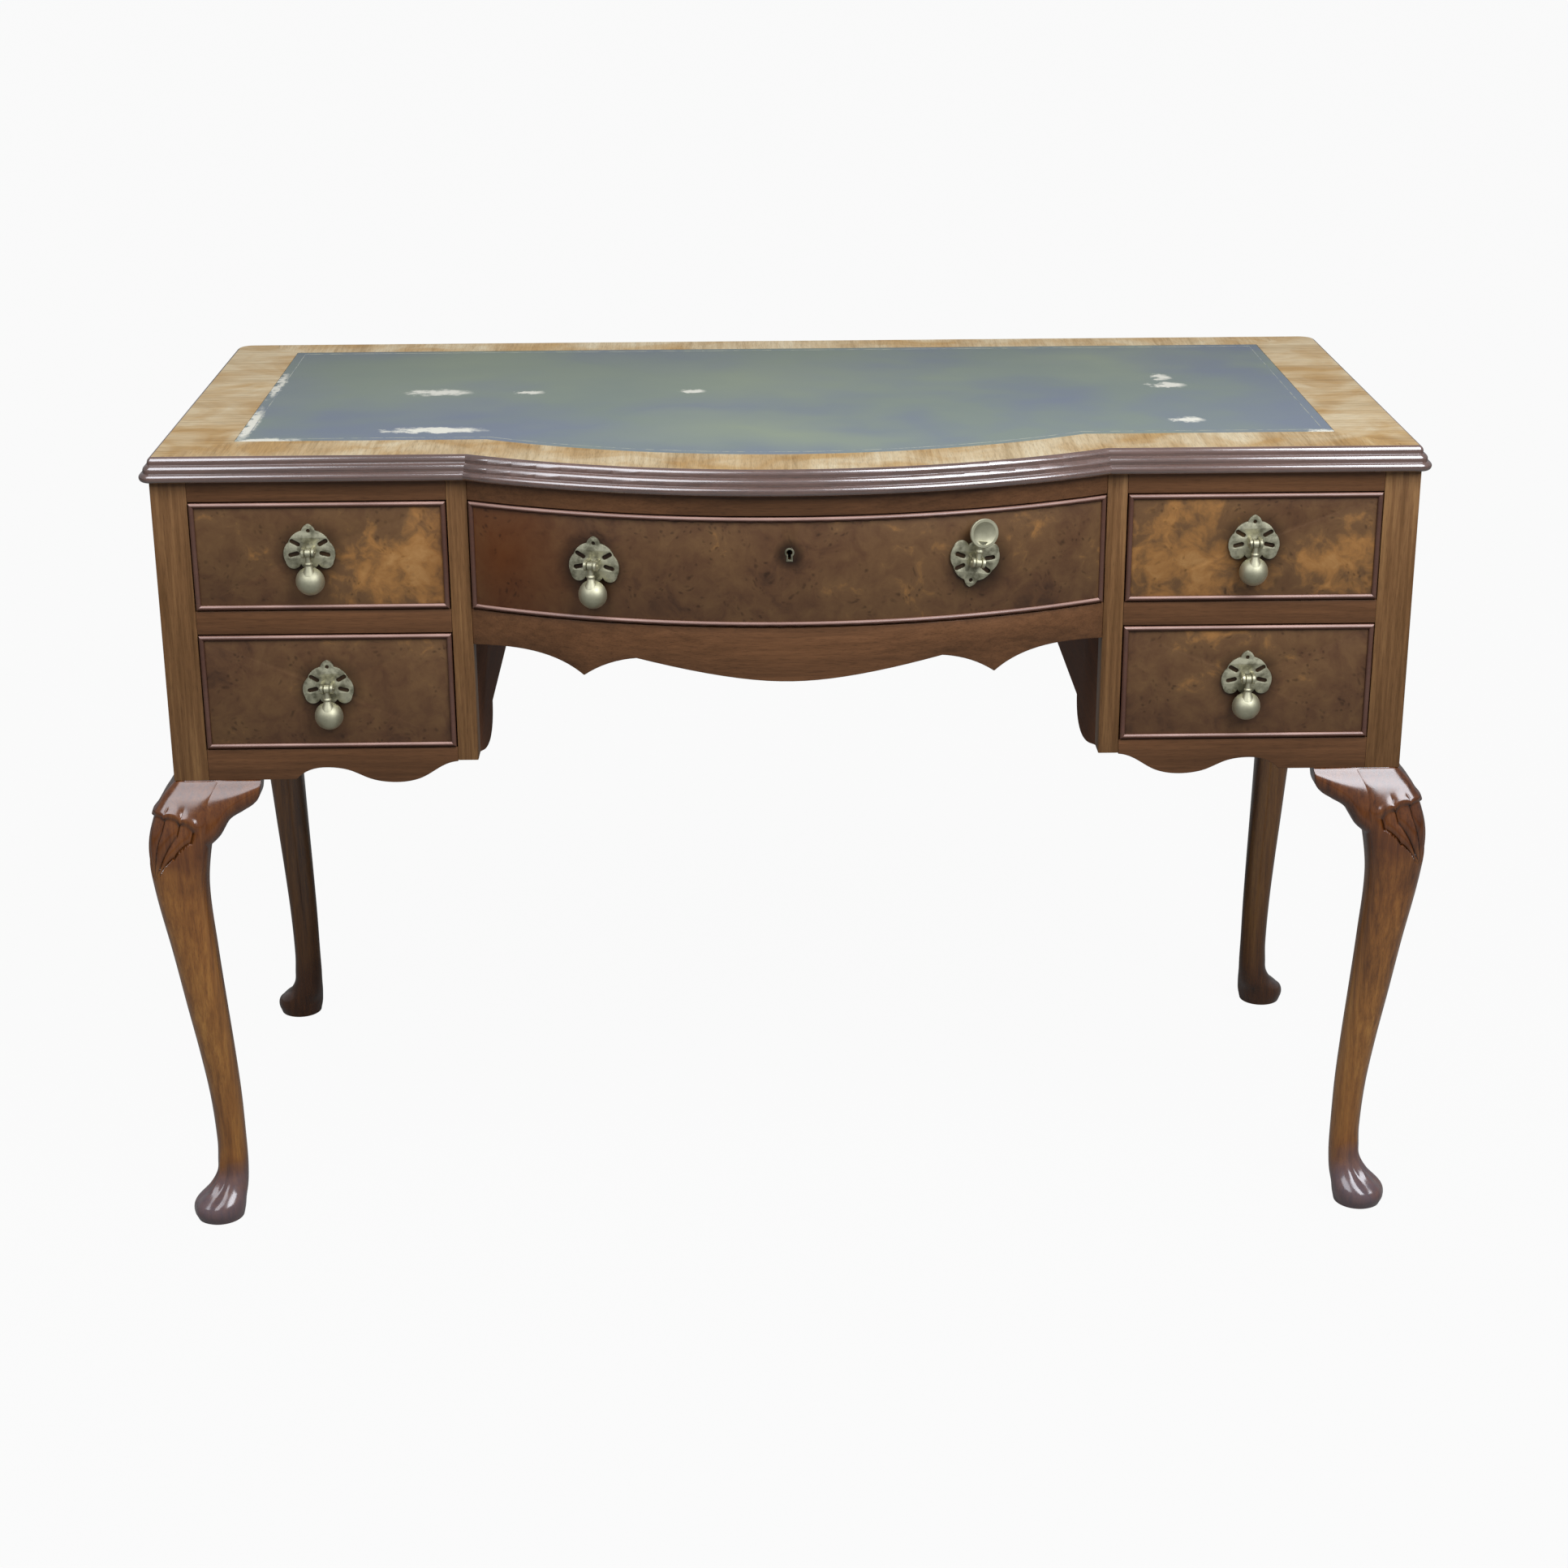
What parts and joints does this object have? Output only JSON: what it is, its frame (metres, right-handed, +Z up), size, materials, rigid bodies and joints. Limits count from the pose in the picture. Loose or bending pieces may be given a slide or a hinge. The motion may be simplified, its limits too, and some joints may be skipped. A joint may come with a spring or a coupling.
{
  "type": "writing table",
  "caption": "Bow-front kneehole writing table with a leather-lined top, pedestal drawers, carved cabriole legs on pad feet and pierced brass drop handles.",
  "frame": {"origin": "on the floor, in the middle of the table's width and depth", "axes": "+X to the sitter's right along the front, +Y from the front to the back, +Z up"},
  "size_m": [1.1872, 0.5879, 0.759],
  "materials": {
    "walnut_case": "French polished walnut",
    "burr_walnut": "French polished burr walnut veneer",
    "walnut_bead": "French polished walnut bead",
    "walnut_border": "faded walnut veneer, polished",
    "walnut_moulding": "polished dark walnut moulding",
    "walnut_leg": "polished carved walnut",
    "lining_wood": "plain unpolished drawer lining",
    "aged_brass": "aged cast brass",
    "lock_brass": "plain brass lock case",
    "lock_steel": "plain steel bolt",
    "desk_leather": "dark green-grey hide with a tooled line, worn"
  },
  "bodies": {
    "carcass": {"back_moulding": "walnut_moulding", "back_panel": "walnut_case", "centre_apron": "walnut_case", "centre_top_rail": "walnut_case", "drawer_runners": "lining_wood", "drawer_stops": "lining_wood", "front_left_leg": "walnut_leg", "front_left_post": "walnut_case", "front_moulding": "walnut_moulding", "front_right_leg": "walnut_leg", "front_right_post": "walnut_case", "kicker_strips": "lining_wood", "knee_brackets": "walnut_leg", "leather_inset": "desk_leather", "left_apron": "walnut_case", "left_inner_stile": "walnut_case", "left_kneehole_panel": "walnut_case", "left_side_moulding": "walnut_moulding", "left_side_panel": "walnut_case", "pedestal_bottoms": "lining_wood", "pedestal_rails": "walnut_case", "rear_left_leg": "walnut_leg", "rear_left_post": "walnut_case", "rear_right_leg": "walnut_leg", "rear_right_post": "walnut_case", "right_apron": "walnut_case", "right_inner_stile": "walnut_case", "right_kneehole_panel": "walnut_case", "right_side_moulding": "walnut_moulding", "right_side_panel": "walnut_case", "top_panel": "walnut_border"},
    "left_upper_drawer": {"left_upper_cock_beads": "walnut_bead", "left_upper_drawer_front": "burr_walnut", "left_upper_drawer_lining": "lining_wood", "left_upper_handle_plate": "aged_brass"},
    "left_lower_drawer": {"left_lower_cock_beads": "walnut_bead", "left_lower_drawer_front": "burr_walnut", "left_lower_drawer_lining": "lining_wood", "left_lower_handle_plate": "aged_brass"},
    "centre_drawer": {"centre_cock_beads": "walnut_bead", "centre_drawer_front": "burr_walnut", "centre_drawer_lining": "lining_wood", "centre_handle_plates": "aged_brass", "keyhole_liner": "aged_brass", "lock_case": "lock_brass"},
    "right_upper_drawer": {"right_upper_cock_beads": "walnut_bead", "right_upper_drawer_front": "burr_walnut", "right_upper_drawer_lining": "lining_wood", "right_upper_handle_plate": "aged_brass"},
    "right_lower_drawer": {"right_lower_cock_beads": "walnut_bead", "right_lower_drawer_front": "burr_walnut", "right_lower_drawer_lining": "lining_wood", "right_lower_handle_plate": "aged_brass"},
    "centre_left_drop": {"centre_left_drop": "aged_brass"},
    "centre_right_drop": {"centre_right_drop": "aged_brass"},
    "left_lower_drop": {"left_lower_drop": "aged_brass"},
    "left_upper_drop": {"left_upper_drop": "aged_brass"},
    "lock_bolt": {"lock_bolt": "lock_steel"},
    "right_lower_drop": {"right_lower_drop": "aged_brass"},
    "right_upper_drop": {"right_upper_drop": "aged_brass"}
  },
  "joints": [
    {"name": "left_upper_drawer_slide", "type": "slide", "parent": "carcass", "child": "left_upper_drawer", "axis": [0, -1, 0], "range_m": [0, 0.32]},
    {"name": "left_lower_drawer_slide", "type": "slide", "parent": "carcass", "child": "left_lower_drawer", "axis": [0, -1, 0], "range_m": [0, 0.32]},
    {"name": "centre_drawer_slide", "type": "slide", "parent": "carcass", "child": "centre_drawer", "axis": [0, -1, 0], "range_m": [0, 0.32]},
    {"name": "right_upper_drawer_slide", "type": "slide", "parent": "carcass", "child": "right_upper_drawer", "axis": [0, -1, 0], "range_m": [0, 0.32]},
    {"name": "right_lower_drawer_slide", "type": "slide", "parent": "carcass", "child": "right_lower_drawer", "axis": [0, -1, 0], "range_m": [0, 0.32]},
    {"name": "left_upper_drop_swing", "type": "hinge", "parent": "left_upper_drawer", "child": "left_upper_drop", "pos_m": [-0.428, -0.228, 0.6735], "axis": [-1, 0, 0], "range_deg": [0, 178]},
    {"name": "left_lower_drop_swing", "type": "hinge", "parent": "left_lower_drawer", "child": "left_lower_drop", "pos_m": [-0.419, -0.228, 0.546], "axis": [-1, 0, 0], "range_deg": [0, 178]},
    {"name": "right_upper_drop_swing", "type": "hinge", "parent": "right_upper_drawer", "child": "right_upper_drop", "pos_m": [0.419, -0.228, 0.6735], "axis": [-1, 0, 0], "range_deg": [0, 178]},
    {"name": "right_lower_drop_swing", "type": "hinge", "parent": "right_lower_drawer", "child": "right_lower_drop", "pos_m": [0.419, -0.228, 0.546], "axis": [-1, 0, 0], "range_deg": [0, 178]},
    {"name": "centre_left_drop_swing", "type": "hinge", "parent": "centre_drawer", "child": "centre_left_drop", "pos_m": [-0.17448, -0.27193, 0.6715], "axis": [-0.9626, 0.2708, 0], "range_deg": [0, 178]},
    {"name": "centre_right_drop_swing", "type": "hinge", "parent": "centre_drawer", "child": "centre_right_drop", "pos_m": [0.16583, -0.2743, 0.6715], "axis": [0.9516, 0.2535, -0.1736], "range_deg": [0, 184]},
    {"name": "lock_bolt_throw", "type": "slide", "parent": "centre_drawer", "child": "lock_bolt", "axis": [0, 0, 1], "range_m": [0, 0.008]}
  ]
}
